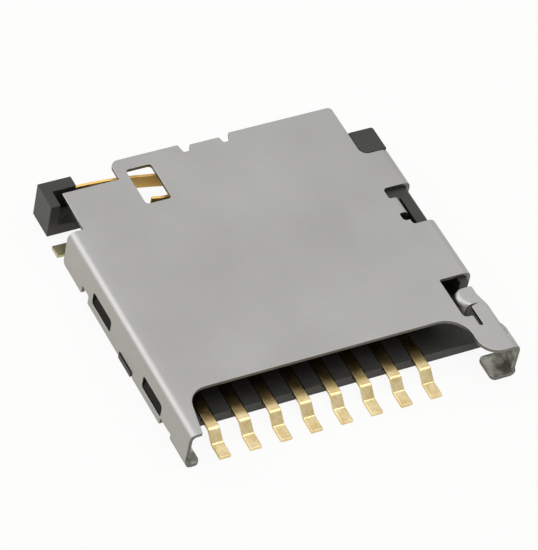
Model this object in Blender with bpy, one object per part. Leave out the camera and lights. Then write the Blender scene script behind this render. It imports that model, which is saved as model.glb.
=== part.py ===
"""Push-pull socket for a micro size memory card, soldered to the face of a circuit board.

One folded sheet-metal cover, one moulded base, eight stamped contacts, and the two
stamped pieces of the switch that tells when a card is in. Sizes are in millimetres.
X runs across the card slot, +Y is the way the card goes in, Z = 0 is the board.
"""

import math

import bmesh
import bpy
from mathutils import Vector

MM = 0.001
ARC_STEP = math.radians(15)
ARC_SHARE = 0.49  # most of a side that the arc at one of its ends may use
STRAIGHT = math.radians(89)  # half the angle at a corner from which it counts as straight
MITRE_LIMIT = 0.5
OVERRUN = 1.0  # how far a cutter runs past the faces that it cuts

# The card: its standard width and thickness, and the room that it gets
CARD_WIDTH = 11.0
CARD_FRONT_WIDTH = 9.7
CARD_THICKNESS = 0.70
CARD_SIDE_GAP = 0.05
CARD_TOP_GAP = 0.13
CARD_STOP = 10.45
ROW_CENTRE_FROM_CARD_EDGE = 4.85

# Fit between pieces that seat on each other
SEAT_GAP = 0.02

# Moulded base
STANDOFF = 0.05
FLOOR = 0.40
LEFT_RAIL = 0.17
RIGHT_RAIL = 0.45
BASE_FRONT = 1.33
MOUTH_FLARE = 0.10
MOUTH_FLARE_DEPTH = 0.45
REAR_WALL_DEPTH = 1.10
RAIL_END_FROM_STOP = 1.15
RIGHT_RAIL_BEHIND_ARM = 0.19
REAR_BLOCK_FROM_SIDE = 0.08
REAR_BLOCK_RADIUS = 0.10
REAR_POCKETS = 5
REAR_POCKET_RIB = 0.28
REAR_POCKET_WALL = 0.24

# Folded cover
SHEET = 0.15
BEND = 0.30
COVER_PAST_STOP = 1.33
COVER_FRONT_LEFT = 0.05
COVER_FRONT_RIGHT = 0.00
WALL_END_LEFT_FROM_STOP = 1.20
WALL_END_RIGHT_FROM_STOP = 1.05
CUT_RADIUS = 0.04  # corners that the punch leaves almost sharp

# Mouth cut out of the cover over the contact tails
MOUTH_DEPTH = 1.80
MOUTH_LEFT_MARGIN = 0.46
MOUTH_LEFT_SLANT = 0.31
MOUTH_RIGHT_MARGIN = 1.33
MOUTH_LEFT_RADIUS = 0.75
MOUTH_RIGHT_RADIUS = 0.85
MOUTH_CORNER_RADIUS = 0.70

# Rear edge of the cover: set-back over the switch, tab, and the cut carrier strip
SETBACK_SIDE = 0.56
SETBACK = 0.83
TAB_FROM_SIDE = 2.66
TAB_RADIUS = 0.30
CARRIER_FROM_SIDE = 5.21
CARRIER_NOTCH = 0.40
CARRIER_NOTCH_DEPTH = 0.36
CARRIER_STRIP = 1.10
CARRIER_STRIP_DROP = 0.10
CARRIER_SLANT = 0.06
REAR_CORNER_FROM_SIDE = 1.03
REAR_CORNER_RADIUS = 0.30

# Window in the tab, over the switch
SIGHT_FROM_SIDE = 3.03
SIGHT_WIDTH = 0.94
SIGHT_LENGTH = 1.64
SIGHT_FROM_BACK = 0.51
SIGHT_RADIUS = 0.12

# Snap windows and foot notches in the side walls
SNAP_LENGTH = 1.38
SNAP_LOW = 0.29
SNAP_HIGH = 0.84
SNAP_RADIUS = 0.14
SNAP_LEFT_AT = (2.60, 6.40)
SNAP_RIGHT_AT = (4.72,)
SNAP_PLAY = 0.05
SNAP_RISE = 0.11
SNAP_LEAD = 0.03
FOOT_NOTCHES_LEFT = ((1.20, 1.90, 0.30), (3.95, 4.95, 0.25), (7.35, 7.85, 0.35))
FOOT_NOTCHES_RIGHT = ((4.22, 5.22, 0.25), (8.30, 8.80, 0.30))
FOOT_NOTCH_RADIUS = 0.08
FOOT_PLAY = 0.05
FOOT_PROUD = 0.04
LEG_RADIUS = 0.15

# Key tab, folded down where a card put in the wrong way round would hit it
KEY_NOTCH = (5.97, 7.75)
KEY_NOTCH_FROM_SIDE = 0.87
KEY_LOBE = 6.20
KEY_LOBE_FROM_SIDE = 1.10
KEY_TAB = (6.55, 7.27)
KEY_FOLD_FROM_SIDE = 0.95
KEY_BEND = 0.22
KEY_BOTTOM = 0.75

# Lock arm, with its hook folded down into the card's side notch
ARM_BAY = (0.96, 3.43)
ARM_BAY_FROM_SIDE = 1.25
ARM_OUTER_FROM_SIDE = 0.22
ARM_WIDTH = 0.56
ARM_ROOT = 1.20
ARM_SLIT = 0.14
ARM_SHOULDER = 1.68
ARM_SHOULDER_RADIUS = 0.30
ARM_TIP_NARROWER = 0.13
ARM_TAPER = (1.95, 2.45)
HOOK = (2.12, 2.85)
HOOK_FLAT = 0.17
HOOK_BEND = 0.25
HOOK_BULGE = 0.34
HOOK_CUT = 0.86  # share of the half ellipse of the bulge that the hook's ends leave
HOOK_STATIONS = 10
HOOK_BOTTOM = 0.78
HOOK_RADIUS = 0.28

# Feet of the cover at the mouth, bent in flat on the board
CORNER_BEND = 0.24
CORNER_FRONT = -0.07
CORNER_SPLIT = 0.32
CORNER_LAP = 0.15
CORNER_FOOT_RIGHT = (0.87, 0.93)
CORNER_FOOT_LEFT = (0.51, 1.15)
CORNER_RADIUS = 0.18
CORNER_STEPS = 4

# Contacts
CONTACTS = 8
PITCH = 1.10
CONTACT_SHEET = 0.12
CONTACT_WIDTH = 0.42
CONTACT_NOSE_WIDTH = 0.30
TAIL_TIP = -0.12
TAIL_LOWER_BEND = 0.50
TAIL_UPPER_BEND = 0.86
TAIL_BEND = 0.16
BEAM_ROOT = 4.60
NOSE_AT = 8.00
NOSE_RISE = 0.33
NOSE_BEND = 0.35
BEAM_TIP = 8.70
BEAM_TIP_DROP = 0.22
BEAM_BEND = 0.80
BEAM_WINDOW = (4.50, 9.00)
BEAM_WINDOW_WIDTH = 0.66

# Corner block that carries the switch
BLOCK_PROUD = 0.05
BLOCK_FROM_BACK = 0.20
BLOCK_BAR = 0.45
BLOCK_SIDE_BAR = 0.34
BLOCK_WIDTH = 1.21
BLOCK_TO_FLOOR = 0.01
LEDGE_LENGTH = 1.68
LEDGE_TOP = 0.50
LEDGE_BACK_STEP = 0.08
BAY_LENGTH = 2.50

# Switch leaf
LEAF_SHEET = 0.10
LEAF_BOTTOM = 0.56
LEAF_HEIGHT = 0.54
LEAF_ROOM = 0.20  # from the leaf's middle to the block's back face
LEAF_ROOT = 0.34
LEAF_SAG = 0.040
LEAF_STEPS = 6
LEAF_REACH = 3.75
LEAF_TURN = 0.34
LEAF_NOSE = 0.42
LEAF_RETURN = 1.42
LEAF_TAIL_WIDTH = 0.38
LEAF_TAIL_OUT = 0.14
LEAF_TAIL_BEND = 0.10

# Fixed contact of the switch, with the tail that leaves under the side
POST_SHEET = 0.12
POST_FROM_BLOCK = 0.83
POST_WIDTH = 0.50
POST_TOP = 1.02
POST_BEND = 0.14
POST_TAIL = (9.50, 9.96)
POST_TAIL_OUT = 0.05

# Faces and levels that follow from the values above
SLOT_HALF = CARD_WIDTH / 2 + CARD_SIDE_GAP
SLOT_NARROW_RIGHT = CARD_FRONT_WIDTH - CARD_WIDTH / 2 + CARD_SIDE_GAP
BASE_LEFT = -SLOT_HALF - LEFT_RAIL
BASE_RIGHT = SLOT_HALF + RIGHT_RAIL
COVER_LEFT = BASE_LEFT - SEAT_GAP - SHEET
COVER_RIGHT = BASE_RIGHT + SEAT_GAP + SHEET
FLOOR_TOP = STANDOFF + FLOOR
COVER_UNDER = FLOOR_TOP + CARD_THICKNESS + CARD_TOP_GAP
HEIGHT = COVER_UNDER + SHEET
BASE_TOP = COVER_UNDER - SEAT_GAP
COVER_DEPTH = CARD_STOP + COVER_PAST_STOP
WALL_END_LEFT = CARD_STOP - WALL_END_LEFT_FROM_STOP
WALL_END_RIGHT = CARD_STOP - WALL_END_RIGHT_FROM_STOP
RAIL_END_LEFT = CARD_STOP - RAIL_END_FROM_STOP
REAR_WALL_BACK = CARD_STOP + REAR_WALL_DEPTH
REAR_WALL_RIGHT = COVER_RIGHT - REAR_CORNER_FROM_SIDE - SHEET / 2
REAR_BLOCK_RIGHT = COVER_RIGHT - REAR_BLOCK_FROM_SIDE
REAR_BLOCK_BACK = CARD_STOP + SEAT_GAP
BLOCK_BACK = COVER_DEPTH - BLOCK_FROM_BACK
BLOCK_LEFT = COVER_LEFT - BLOCK_PROUD
BLOCK_RIGHT = BLOCK_LEFT + BLOCK_WIDTH
FLOOR_LEFT_REAR = BLOCK_RIGHT + BLOCK_TO_FLOOR
LEDGE_END = BLOCK_RIGHT + LEDGE_LENGTH
BAY_END = LEDGE_END + BAY_LENGTH
ARM_OUTER = COVER_RIGHT - ARM_OUTER_FROM_SIDE
ARM_INNER = ARM_OUTER - ARM_WIDTH
ARM_TIP_OUTER = ARM_OUTER - ARM_TIP_NARROWER
RIGHT_RAIL_FRONT = ARM_BAY[1] - RIGHT_RAIL_BEHIND_ARM
POST_AT = BLOCK_RIGHT + POST_FROM_BLOCK
LEAF_TURN_AT = BLOCK_RIGHT + LEAF_REACH
LEAF_TIP_AT = LEAF_TURN_AT - LEAF_RETURN
ROW_CENTRE = -CARD_WIDTH / 2 + ROW_CENTRE_FROM_CARD_EDGE
LEAF_Y = BLOCK_BACK - LEAF_ROOM
LEAF_LEFT = BLOCK_LEFT + LEAF_ROOT
POST_LEFT = BLOCK_LEFT - POST_TAIL_OUT
CENTRE_X = (POST_LEFT + COVER_RIGHT) / 2
CENTRE_Y = (TAIL_TIP + COVER_DEPTH) / 2


def corner_arc(before, corner, after, radius):
    """Points of the arc that rounds a corner; the radius is limited by the sides beside it."""
    back = before - corner
    ahead = after - corner
    half = back.angle(ahead) / 2
    if radius <= 0 or half > STRAIGHT:
        return [corner]
    reach = min(radius / math.tan(half), ARC_SHARE * back.length, ARC_SHARE * ahead.length)
    radius = reach * math.tan(half)
    centre = corner + (back.normalized() + ahead.normalized()).normalized() * (radius / math.sin(half))
    start = corner + back.normalized() * reach - centre
    end = corner + ahead.normalized() * reach - centre
    turn = start.angle_signed(end)
    steps = max(2, math.ceil(abs(turn) / ARC_STEP))
    points = []
    for step in range(steps + 1):
        angle = -turn * step / steps
        points.append(centre + Vector((
            start.x * math.cos(angle) - start.y * math.sin(angle),
            start.x * math.sin(angle) + start.y * math.cos(angle),
        )))
    return points


def rounded(corners, closed=True):
    """Outline or path through (u, v, radius) corners, with every radius made an arc."""
    spots = [Vector(corner[:2]) for corner in corners]
    points = []
    for index, corner in enumerate(corners):
        radius = corner[2] if len(corner) > 2 else 0
        if not closed and index in (0, len(corners) - 1):
            radius = 0
        before = spots[index - 1]
        after = spots[(index + 1) % len(spots)]
        if radius:
            points.extend(corner_arc(before, spots[index], after, radius))
        else:
            points.append(spots[index])
    return points


def rectangle(low_u, low_v, high_u, high_v, radius=0):
    """Closed outline of a rectangle, with rounded corners if a radius is given."""
    corners = ((low_u, low_v), (high_u, low_v), (high_u, high_v), (low_u, high_v))
    return rounded([(u, v, radius) for u, v in corners])


def in_space(axis, u, v, along):
    """Point in metres from two outline coordinates and the one along the axis."""
    if axis == "X":
        return Vector((along, u, v)) * MM
    if axis == "Y":
        return Vector((u, along, v)) * MM
    return Vector((u, v, along)) * MM


def add_prism(bm, axis, outline, low, high):
    """Sweep a closed outline straight along an axis, as one closed body in the mesh."""
    face = bm.faces.new([bm.verts.new(in_space(axis, p[0], p[1], low)) for p in outline])
    swept = bmesh.ops.extrude_face_region(bm, geom=[face])
    moved = [item for item in swept["geom"] if isinstance(item, bmesh.types.BMVert)]
    shift = in_space(axis, 0, 0, high - low)
    bmesh.ops.translate(bm, verts=moved, vec=shift)


def sheet_sides(path, sheet):
    """The two faces of a bent sheet, as paths half its thickness off the middle path."""
    near = []
    far = []
    for index, point in enumerate(path):
        before = (point - path[index - 1]).normalized() if index else None
        after = (path[index + 1] - point).normalized() if index < len(path) - 1 else None
        way = (before + after).normalized() if before and after else (before or after)
        stretch = 1 / max(MITRE_LIMIT, way.dot(after or before))
        side = Vector((-way.y, way.x)) * (sheet / 2 * stretch)
        near.append(point - side)
        far.append(point + side)
    return near, far


def skin(bm, rings):
    """Close a body over rings of vertices that all have the same number of corners."""
    size = len(rings[0])
    for ring, following in zip(rings, rings[1:]):
        for index in range(size):
            across = (index + 1) % size
            bm.faces.new((ring[index], following[index], following[across], ring[across]))


def add_strip(bm, axis, path, edges, sheet):
    """Fold a strip of sheet along a path through its middle.

    The path lies in the plane across the axis. edges(point) gives the strip's two edges
    along the axis at each point, so a strip may taper or have a shaped end.
    """
    rings = []
    for point, near, far in zip(path, *sheet_sides(path, sheet)):
        low, high = edges(point)
        corners = ((near, low), (far, low), (far, high), (near, high))
        rings.append([bm.verts.new(in_space(axis, spot.x, spot.y, along)) for spot, along in corners])
    bm.faces.new(rings[0])
    bm.faces.new(rings[-1])
    skin(bm, rings)


def add_swelled_strip(bm, stations, sheet):
    """Body over bent sheet sections, each a path in X and Z at its own Y."""
    rings = []
    for y, path in stations:
        near, far = sheet_sides(path, sheet)
        outline = near + far[::-1]
        rings.append([bm.verts.new(in_space("Y", spot.x, spot.y, y)) for spot in outline])
    for ring in (rings[0], rings[-1]):
        for index in range(len(ring) // 2 - 1):
            bm.faces.new((ring[index], ring[index + 1], ring[-index - 2], ring[-index - 1]))
    skin(bm, rings)


def end_trim(distance, radius):
    """How far a strip's edge draws in, at a distance from its rounded end."""
    into = min(1.0, max(0.0, 1 - distance / radius))
    return radius * (1 - math.sqrt(1 - into * into))


def make_material(name, colour, metallic, roughness):
    """Plain surface colour for one sub-part."""
    material = bpy.data.materials.new(name)
    material.use_nodes = True
    shader = material.node_tree.nodes["Principled BSDF"]
    shader.inputs["Base Color"].default_value = (*colour, 1)
    shader.inputs["Metallic"].default_value = metallic
    shader.inputs["Roughness"].default_value = roughness
    return material


def make_object(name, bm, material=None):
    """Object from a mesh whose faces are turned outward, hung from the socket's origin."""
    bmesh.ops.recalc_face_normals(bm, faces=bm.faces)
    mesh = bpy.data.meshes.new(name)
    bm.to_mesh(mesh)
    bm.free()
    body = bpy.data.objects.new(name, mesh)
    bpy.context.collection.objects.link(body)
    body.parent = bpy.data.objects["socket_origin"]
    if material:
        mesh.materials.append(material)
    return body


def combine(body, name, bm, operation):
    """Cut a tool mesh out of a body, or join it on, as a Boolean modifier."""
    tool = make_object(name, bm)
    tool.display_type = "WIRE"
    tool.hide_render = True
    boolean = body.modifiers.new(name, "BOOLEAN")
    boolean.operation = operation
    boolean.solver = "EXACT"
    boolean.object = tool


def punch(body, name, prisms):
    """Cut prisms that don't meet each other out of a body."""
    bm = bmesh.new()
    for axis, outline, low, high in prisms:
        add_prism(bm, axis, outline, low, high)
    combine(body, name, bm, "DIFFERENCE")


def join(body, name, prisms):
    """Join prisms that don't meet each other onto a body."""
    bm = bmesh.new()
    for axis, outline, low, high in prisms:
        add_prism(bm, axis, outline, low, high)
    combine(body, name, bm, "UNION")


def cover_section():
    """Section of the cover across the slot: roof, two bends and two side walls."""
    inner = BEND - SHEET
    outside = [
        (COVER_LEFT, 0), (COVER_LEFT, HEIGHT, BEND), (COVER_RIGHT, HEIGHT, BEND), (COVER_RIGHT, 0),
    ]
    inside = [
        (COVER_RIGHT - SHEET, 0), (COVER_RIGHT - SHEET, COVER_UNDER, inner),
        (COVER_LEFT + SHEET, COVER_UNDER, inner), (COVER_LEFT + SHEET, 0),
    ]
    return rounded(outside + inside)


def mouth_outline():
    """Front edge of the cover's roof, with the mouth that leaves the contact tails open."""
    left = COVER_LEFT + MOUTH_LEFT_MARGIN
    right = COVER_RIGHT - MOUTH_RIGHT_MARGIN
    return rounded([
        (COVER_LEFT - OVERRUN, -2 * OVERRUN),
        (COVER_LEFT - OVERRUN, COVER_FRONT_LEFT),
        (left, COVER_FRONT_LEFT),
        (left + MOUTH_LEFT_SLANT, MOUTH_DEPTH, MOUTH_LEFT_RADIUS),
        (right, MOUTH_DEPTH, MOUTH_RIGHT_RADIUS),
        (right, COVER_FRONT_RIGHT, MOUTH_CORNER_RADIUS),
        (COVER_RIGHT + OVERRUN, COVER_FRONT_RIGHT),
        (COVER_RIGHT + OVERRUN, -2 * OVERRUN),
    ])


def rear_outline():
    """Rear edge of the cover: set-back, tab, carrier notches and the free right corner."""
    back = COVER_DEPTH
    setback = back - SETBACK
    tab = COVER_LEFT + TAB_FROM_SIDE
    first = COVER_LEFT + CARRIER_FROM_SIDE
    second = first + CARRIER_NOTCH + CARRIER_STRIP
    deep = back - CARRIER_NOTCH_DEPTH
    strip = back - CARRIER_STRIP_DROP
    slope = CARRIER_SLANT
    small = CUT_RADIUS
    right = COVER_RIGHT - REAR_CORNER_FROM_SIDE
    return rounded([
        (COVER_LEFT - OVERRUN, back + OVERRUN),
        (COVER_LEFT - OVERRUN, WALL_END_LEFT),
        (COVER_LEFT + SETBACK_SIDE, WALL_END_LEFT),
        (COVER_LEFT + SETBACK_SIDE, setback, small),
        (tab, setback, small),
        (tab, back, TAB_RADIUS),
        (first, back, small),
        (first + slope, deep, small),
        (first + CARRIER_NOTCH - 2 * slope, deep, small),
        (first + CARRIER_NOTCH, strip, small),
        (second, strip, small),
        (second + slope, deep, small),
        (second + CARRIER_NOTCH - 2 * slope, deep, small),
        (second + CARRIER_NOTCH, back, small),
        (right, back, REAR_CORNER_RADIUS / 2),
        (right, WALL_END_RIGHT, REAR_CORNER_RADIUS),
        (COVER_RIGHT + OVERRUN, WALL_END_RIGHT),
        (COVER_RIGHT + OVERRUN, back + OVERRUN),
    ])


def sight_outline():
    """Window in the cover's tab that shows the switch leaf."""
    left = COVER_LEFT + SIGHT_FROM_SIDE
    back = COVER_DEPTH - SIGHT_FROM_BACK
    return rectangle(left, back - SIGHT_LENGTH, left + SIGHT_WIDTH, back, SIGHT_RADIUS)


def key_outline():
    """Notch in the roof and the side, with a relief lobe at each end of the key tab."""
    outside = COVER_RIGHT + OVERRUN
    deep = COVER_RIGHT - KEY_LOBE_FROM_SIDE
    side = COVER_RIGHT - KEY_NOTCH_FROM_SIDE
    fold = COVER_RIGHT - KEY_FOLD_FROM_SIDE
    low, high = KEY_NOTCH
    tab_low, tab_high = KEY_TAB
    return rounded([
        (outside, high), (deep, high, SHEET), (deep, tab_high, SHEET),
        (fold, tab_high), (fold, tab_low), (deep, tab_low, SHEET), (deep, KEY_LOBE, SHEET),
        (side, KEY_LOBE, CUT_RADIUS), (side, low, SHEET), (outside, low),
    ])


def arm_outline():
    """Slot round the lock arm: a bay behind its hook, a slit beside it, a free outer edge."""
    outside = COVER_RIGHT + OVERRUN
    low, high = ARM_BAY
    bay = COVER_RIGHT - ARM_BAY_FROM_SIDE
    slit = ARM_INNER - ARM_SLIT
    hook_low, hook_high = HOOK
    hook_side = ARM_TIP_OUTER - HOOK_FLAT
    taper_low, taper_high = ARM_TAPER
    small = ARM_SLIT / 2
    return rounded([
        (outside, high), (bay, high, small), (bay, ARM_SHOULDER, ARM_SHOULDER_RADIUS),
        (slit, ARM_SHOULDER, small), (slit, ARM_ROOT, small), (ARM_INNER, ARM_ROOT, small),
        (ARM_INNER, hook_low - small, small), (hook_side, hook_low), (hook_side, hook_high),
        (ARM_TIP_OUTER, hook_high, small), (ARM_TIP_OUTER, taper_high, small),
        (ARM_OUTER, taper_low, small), (ARM_OUTER, low + SHEET, small),
        (ARM_OUTER + SHEET, low), (outside, low),
    ])


def across_wall(side):
    """The span in X that a punch through one side wall covers."""
    face = COVER_LEFT if side < 0 else COVER_RIGHT
    return sorted((face + side * OVERRUN, face - side * 2 * SHEET))


def wall_cuts(side, windows, notches):
    """Snap windows and foot notches of one side wall, punched straight through it."""
    low, high = across_wall(side)
    cuts = []
    for centre in windows:
        outline = rectangle(
            centre - SNAP_LENGTH / 2, SNAP_LOW, centre + SNAP_LENGTH / 2, SNAP_HIGH, SNAP_RADIUS
        )
        cuts.append(("X", outline, low, high))
    for front, rear, height in notches:
        outline = rounded([
            (front, -OVERRUN), (rear, -OVERRUN), (rear, height, FOOT_NOTCH_RADIUS),
            (front, height, FOOT_NOTCH_RADIUS),
        ])
        cuts.append(("X", outline, low, high))
    return cuts


def corner_cut(side, rear):
    """Foot of a side wall at the mouth, cut off where the bent-in foot takes its place."""
    low, high = across_wall(side)
    return ("X", rectangle(-2 * OVERRUN, -OVERRUN, rear, CORNER_SPLIT), low, high)


def leg_rounding(side, end):
    """Rounded lower corner at the rear end of a side wall."""
    low, high = across_wall(side)
    outline = [Vector((end + SHEET, -SHEET)), Vector((end - LEG_RADIUS, -SHEET))]
    outline += corner_arc(
        Vector((end - OVERRUN, 0)), Vector((end, 0)), Vector((end, OVERRUN)), LEG_RADIUS
    )
    outline += [Vector((end + SHEET, LEG_RADIUS))]
    return ("X", outline, low, high)


def add_key_tab(bm):
    """Key tab: from the roof it bends straight down into the slot."""
    fold = COVER_RIGHT - KEY_FOLD_FROM_SIDE
    middle = HEIGHT - SHEET / 2
    path = rounded([
        (fold - SHEET, middle), (fold + KEY_BEND - SHEET / 2, middle, KEY_BEND - SHEET / 2),
        (fold + KEY_BEND - SHEET / 2, KEY_BOTTOM),
    ], closed=False)
    add_strip(bm, "Y", path, lambda point: KEY_TAB, SHEET)


def add_hook(bm):
    """Hook of the lock arm: the arm's edge rolls down and bulges towards the card."""
    low, high = HOOK
    middle = HEIGHT - SHEET / 2
    side = ARM_TIP_OUTER - HOOK_FLAT
    half_length = (high - low) / 2 / HOOK_CUT
    stations = []
    for station in range(HOOK_STATIONS + 1):
        along = HOOK_CUT * (2 * station / HOOK_STATIONS - 1)
        swell = math.sqrt(1 - along * along)
        down = side - HOOK_BEND + SHEET / 2 - HOOK_BULGE * swell
        bottom = HOOK_BOTTOM + HOOK_RADIUS * (1 - swell)
        path = rounded([
            (side + SHEET, middle), (down, middle, HOOK_BEND - SHEET / 2), (down, bottom),
        ], closed=False)
        stations.append(((low + high) / 2 + half_length * along, path))
    add_swelled_strip(bm, stations, SHEET)


def add_corner_foot(bm, side, foot):
    """Foot of the cover beside the mouth: the wall's lower edge bent in on the board."""
    length, rear = foot
    face = COVER_LEFT if side < 0 else COVER_RIGHT
    wall = face - side * SHEET / 2
    tip = face - side * length
    wall_front = COVER_FRONT_LEFT if side < 0 else COVER_FRONT_RIGHT
    level = SHEET / 2
    corners = [
        (wall, CORNER_SPLIT + CORNER_LAP), (wall, CORNER_SPLIT),
        (wall, level, CORNER_BEND - level),
    ]
    for step in range(CORNER_STEPS + 1):
        short = CORNER_RADIUS * (1 - math.sin(math.pi / 2 * step / CORNER_STEPS))
        corners.append((tip + side * short, level))
    path = rounded(corners, closed=False)

    def edges(point):
        trim = end_trim(abs(point.x - tip), CORNER_RADIUS)
        front = wall_front if point.y > CORNER_BEND else CORNER_FRONT
        return front + trim, rear - trim

    add_strip(bm, "Y", path, edges, SHEET)


def build_cover(material):
    """Folded cover: a bent channel, punched, with its tabs folded."""
    bm = bmesh.new()
    add_prism(bm, "Y", cover_section(), -SHEET, COVER_DEPTH + SHEET)
    cover = make_object("cover", bm, material)
    through = (-OVERRUN, HEIGHT + OVERRUN)
    punch(cover, "cover_edge_cut", [
        ("Z", mouth_outline(), *through),
        ("Z", rear_outline(), *through),
        ("Z", sight_outline(), *through),
        ("Z", key_outline(), *through),
        ("Z", arm_outline(), *through),
    ])
    punch(cover, "cover_wall_cut", [
        *wall_cuts(-1, SNAP_LEFT_AT, FOOT_NOTCHES_LEFT),
        *wall_cuts(1, SNAP_RIGHT_AT, FOOT_NOTCHES_RIGHT),
        leg_rounding(-1, WALL_END_LEFT),
        leg_rounding(1, WALL_END_RIGHT),
    ])
    punch(cover, "cover_corner_cut", [
        corner_cut(-1, FOOT_NOTCHES_LEFT[0][0] + FOOT_NOTCH_RADIUS),
        corner_cut(1, ARM_BAY[0] + SHEET),
    ])
    bm = bmesh.new()
    add_key_tab(bm)
    add_hook(bm)
    add_corner_foot(bm, -1, CORNER_FOOT_LEFT)
    add_corner_foot(bm, 1, CORNER_FOOT_RIGHT)
    combine(cover, "cover_folds", bm, "UNION")
    return cover


def base_outline():
    """Outline of the moulded base seen from above, with the corner block and rear wall."""
    beside_wall = WALL_END_RIGHT + SEAT_GAP
    return rounded([
        (BASE_LEFT, BASE_FRONT), (BASE_RIGHT, BASE_FRONT),
        (BASE_RIGHT, beside_wall), (REAR_BLOCK_RIGHT, beside_wall),
        (REAR_BLOCK_RIGHT, REAR_BLOCK_BACK, REAR_BLOCK_RADIUS), (REAR_WALL_RIGHT, REAR_BLOCK_BACK),
        (REAR_WALL_RIGHT, REAR_WALL_BACK, SEAT_GAP), (BLOCK_RIGHT, REAR_WALL_BACK),
        (BLOCK_RIGHT, BLOCK_BACK, SEAT_GAP), (BLOCK_LEFT, BLOCK_BACK, SEAT_GAP),
        (BLOCK_LEFT, CARD_STOP, SEAT_GAP), (FLOOR_LEFT_REAR, CARD_STOP),
        (FLOOR_LEFT_REAR, RAIL_END_LEFT), (BASE_LEFT, RAIL_END_LEFT),
    ])


def under_cover_outline():
    """Where the base stays under the roof: all but the two rear corners that the cover leaves."""
    beside_x = COVER_RIGHT - REAR_CORNER_FROM_SIDE + SEAT_GAP
    beside_y = WALL_END_RIGHT + SEAT_GAP
    before_block = CARD_STOP - SHEET
    bar_x = BLOCK_LEFT + BLOCK_SIDE_BAR
    bar_y = BLOCK_BACK - BLOCK_BAR
    return rounded([
        (COVER_LEFT - OVERRUN, -OVERRUN), (COVER_RIGHT + OVERRUN, -OVERRUN),
        (COVER_RIGHT + OVERRUN, beside_y), (beside_x, beside_y, REAR_CORNER_RADIUS),
        (beside_x, COVER_DEPTH + OVERRUN), (BLOCK_RIGHT, COVER_DEPTH + OVERRUN),
        (BLOCK_RIGHT, bar_y), (bar_x, bar_y),
        (bar_x, before_block), (COVER_LEFT - OVERRUN, before_block),
    ])


def cavity_outline():
    """Card slot from above: flared, open beside the lock arm, narrow behind the key tab."""
    flare_left = -SLOT_HALF - MOUTH_FLARE
    flare_right = SLOT_HALF + MOUTH_FLARE
    narrow_from = KEY_TAB[1] + SEAT_GAP
    return rounded([
        (flare_left, BASE_FRONT - OVERRUN), (BASE_RIGHT + OVERRUN, BASE_FRONT - OVERRUN),
        (BASE_RIGHT + OVERRUN, RIGHT_RAIL_FRONT), (flare_right, RIGHT_RAIL_FRONT),
        (SLOT_HALF, RIGHT_RAIL_FRONT + MOUTH_FLARE_DEPTH), (SLOT_HALF, narrow_from),
        (SLOT_NARROW_RIGHT, narrow_from, SHEET), (SLOT_NARROW_RIGHT, CARD_STOP),
        (-SLOT_HALF, CARD_STOP), (-SLOT_HALF, BASE_FRONT + MOUTH_FLARE_DEPTH),
        (flare_left, BASE_FRONT),
    ])


def rail_rounding(side, front, rear):
    """Top outer edge of a rail, rounded to lie inside the cover's bend."""
    face = BASE_LEFT if side < 0 else BASE_RIGHT
    radius = BEND - SHEET - SEAT_GAP
    outline = [Vector((face + side * OVERRUN, BASE_TOP + OVERRUN))]
    outline += [Vector((face + side * OVERRUN, BASE_TOP - radius))]
    outline += corner_arc(
        Vector((face, 0)), Vector((face, BASE_TOP)), Vector((face - side, BASE_TOP)), radius
    )
    outline += [Vector((face - side * radius, BASE_TOP + OVERRUN))]
    return ("Y", outline, front, rear)


def contact_centres():
    """Middle of each contact along the row, from left to right."""
    first = ROW_CENTRE - PITCH * (CONTACTS - 1) / 2
    return [first + PITCH * index for index in range(CONTACTS)]


def snap_boss(side, centre):
    """Wedge on a rail that the cover's window snaps over: thin above, full below."""
    face = BASE_LEFT if side < 0 else BASE_RIGHT
    length = SNAP_LENGTH - 2 * SNAP_PLAY
    outline = rounded([
        (face - side * SHEET / 2, SNAP_LOW + SNAP_PLAY),
        (face + side * (SEAT_GAP + SNAP_RISE), SNAP_LOW + SNAP_PLAY),
        (face + side * (SEAT_GAP + SNAP_RISE), SNAP_LOW + 2 * SNAP_PLAY),
        (face + side * SNAP_LEAD, SNAP_HIGH - SNAP_PLAY),
        (face - side * SHEET / 2, SNAP_HIGH - SNAP_PLAY),
    ])
    return ("Y", outline, centre - length / 2, centre + length / 2)


def edge_foot(side, notch):
    """Foot of the base that stands out through a notch of the cover's wall."""
    front, rear, height = notch
    face = BASE_LEFT if side < 0 else BASE_RIGHT
    low, high = sorted((face - side * SHEET, face + side * (SEAT_GAP + SHEET + FOOT_PROUD)))
    outline = rectangle(low, front + FOOT_PLAY, high, rear - FOOT_PLAY)
    return ("Z", outline, 0, height - FOOT_PLAY)


def base_feet():
    """Low pads under the floor that stand the base off the board."""
    inset = SHEET
    size = LEFT_RAIL + RIGHT_RAIL
    spots = [
        (BASE_LEFT + inset, BASE_FRONT + inset), (BASE_RIGHT - inset - size, BASE_FRONT + inset),
        (BASE_RIGHT - inset - size, CARD_STOP - inset - size),
        (BLOCK_LEFT + inset, CARD_STOP + inset),
    ]
    return [("Z", rectangle(u, v, u + size, v + size, inset), 0, STANDOFF + inset) for u, v in spots]


def contact_grooves():
    """Groove in the floor for the flat run of each contact."""
    half = CONTACT_WIDTH / 2 + SEAT_GAP
    bottom = FLOOR_TOP - CONTACT_SHEET - SEAT_GAP
    grooves = []
    for x in contact_centres():
        outline = rectangle(x - half, BASE_FRONT - OVERRUN, x + half, BEAM_WINDOW[0] + SHEET)
        grooves.append(("Z", outline, bottom, FLOOR_TOP + OVERRUN))
    return grooves


def beam_windows():
    """Opening through the floor under each contact beam, which it bends into."""
    half = BEAM_WINDOW_WIDTH / 2
    low, high = BEAM_WINDOW
    return [
        ("Z", rectangle(x - half, low, x + half, high, SHEET), -OVERRUN, FLOOR_TOP + OVERRUN)
        for x in contact_centres()
    ]


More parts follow.
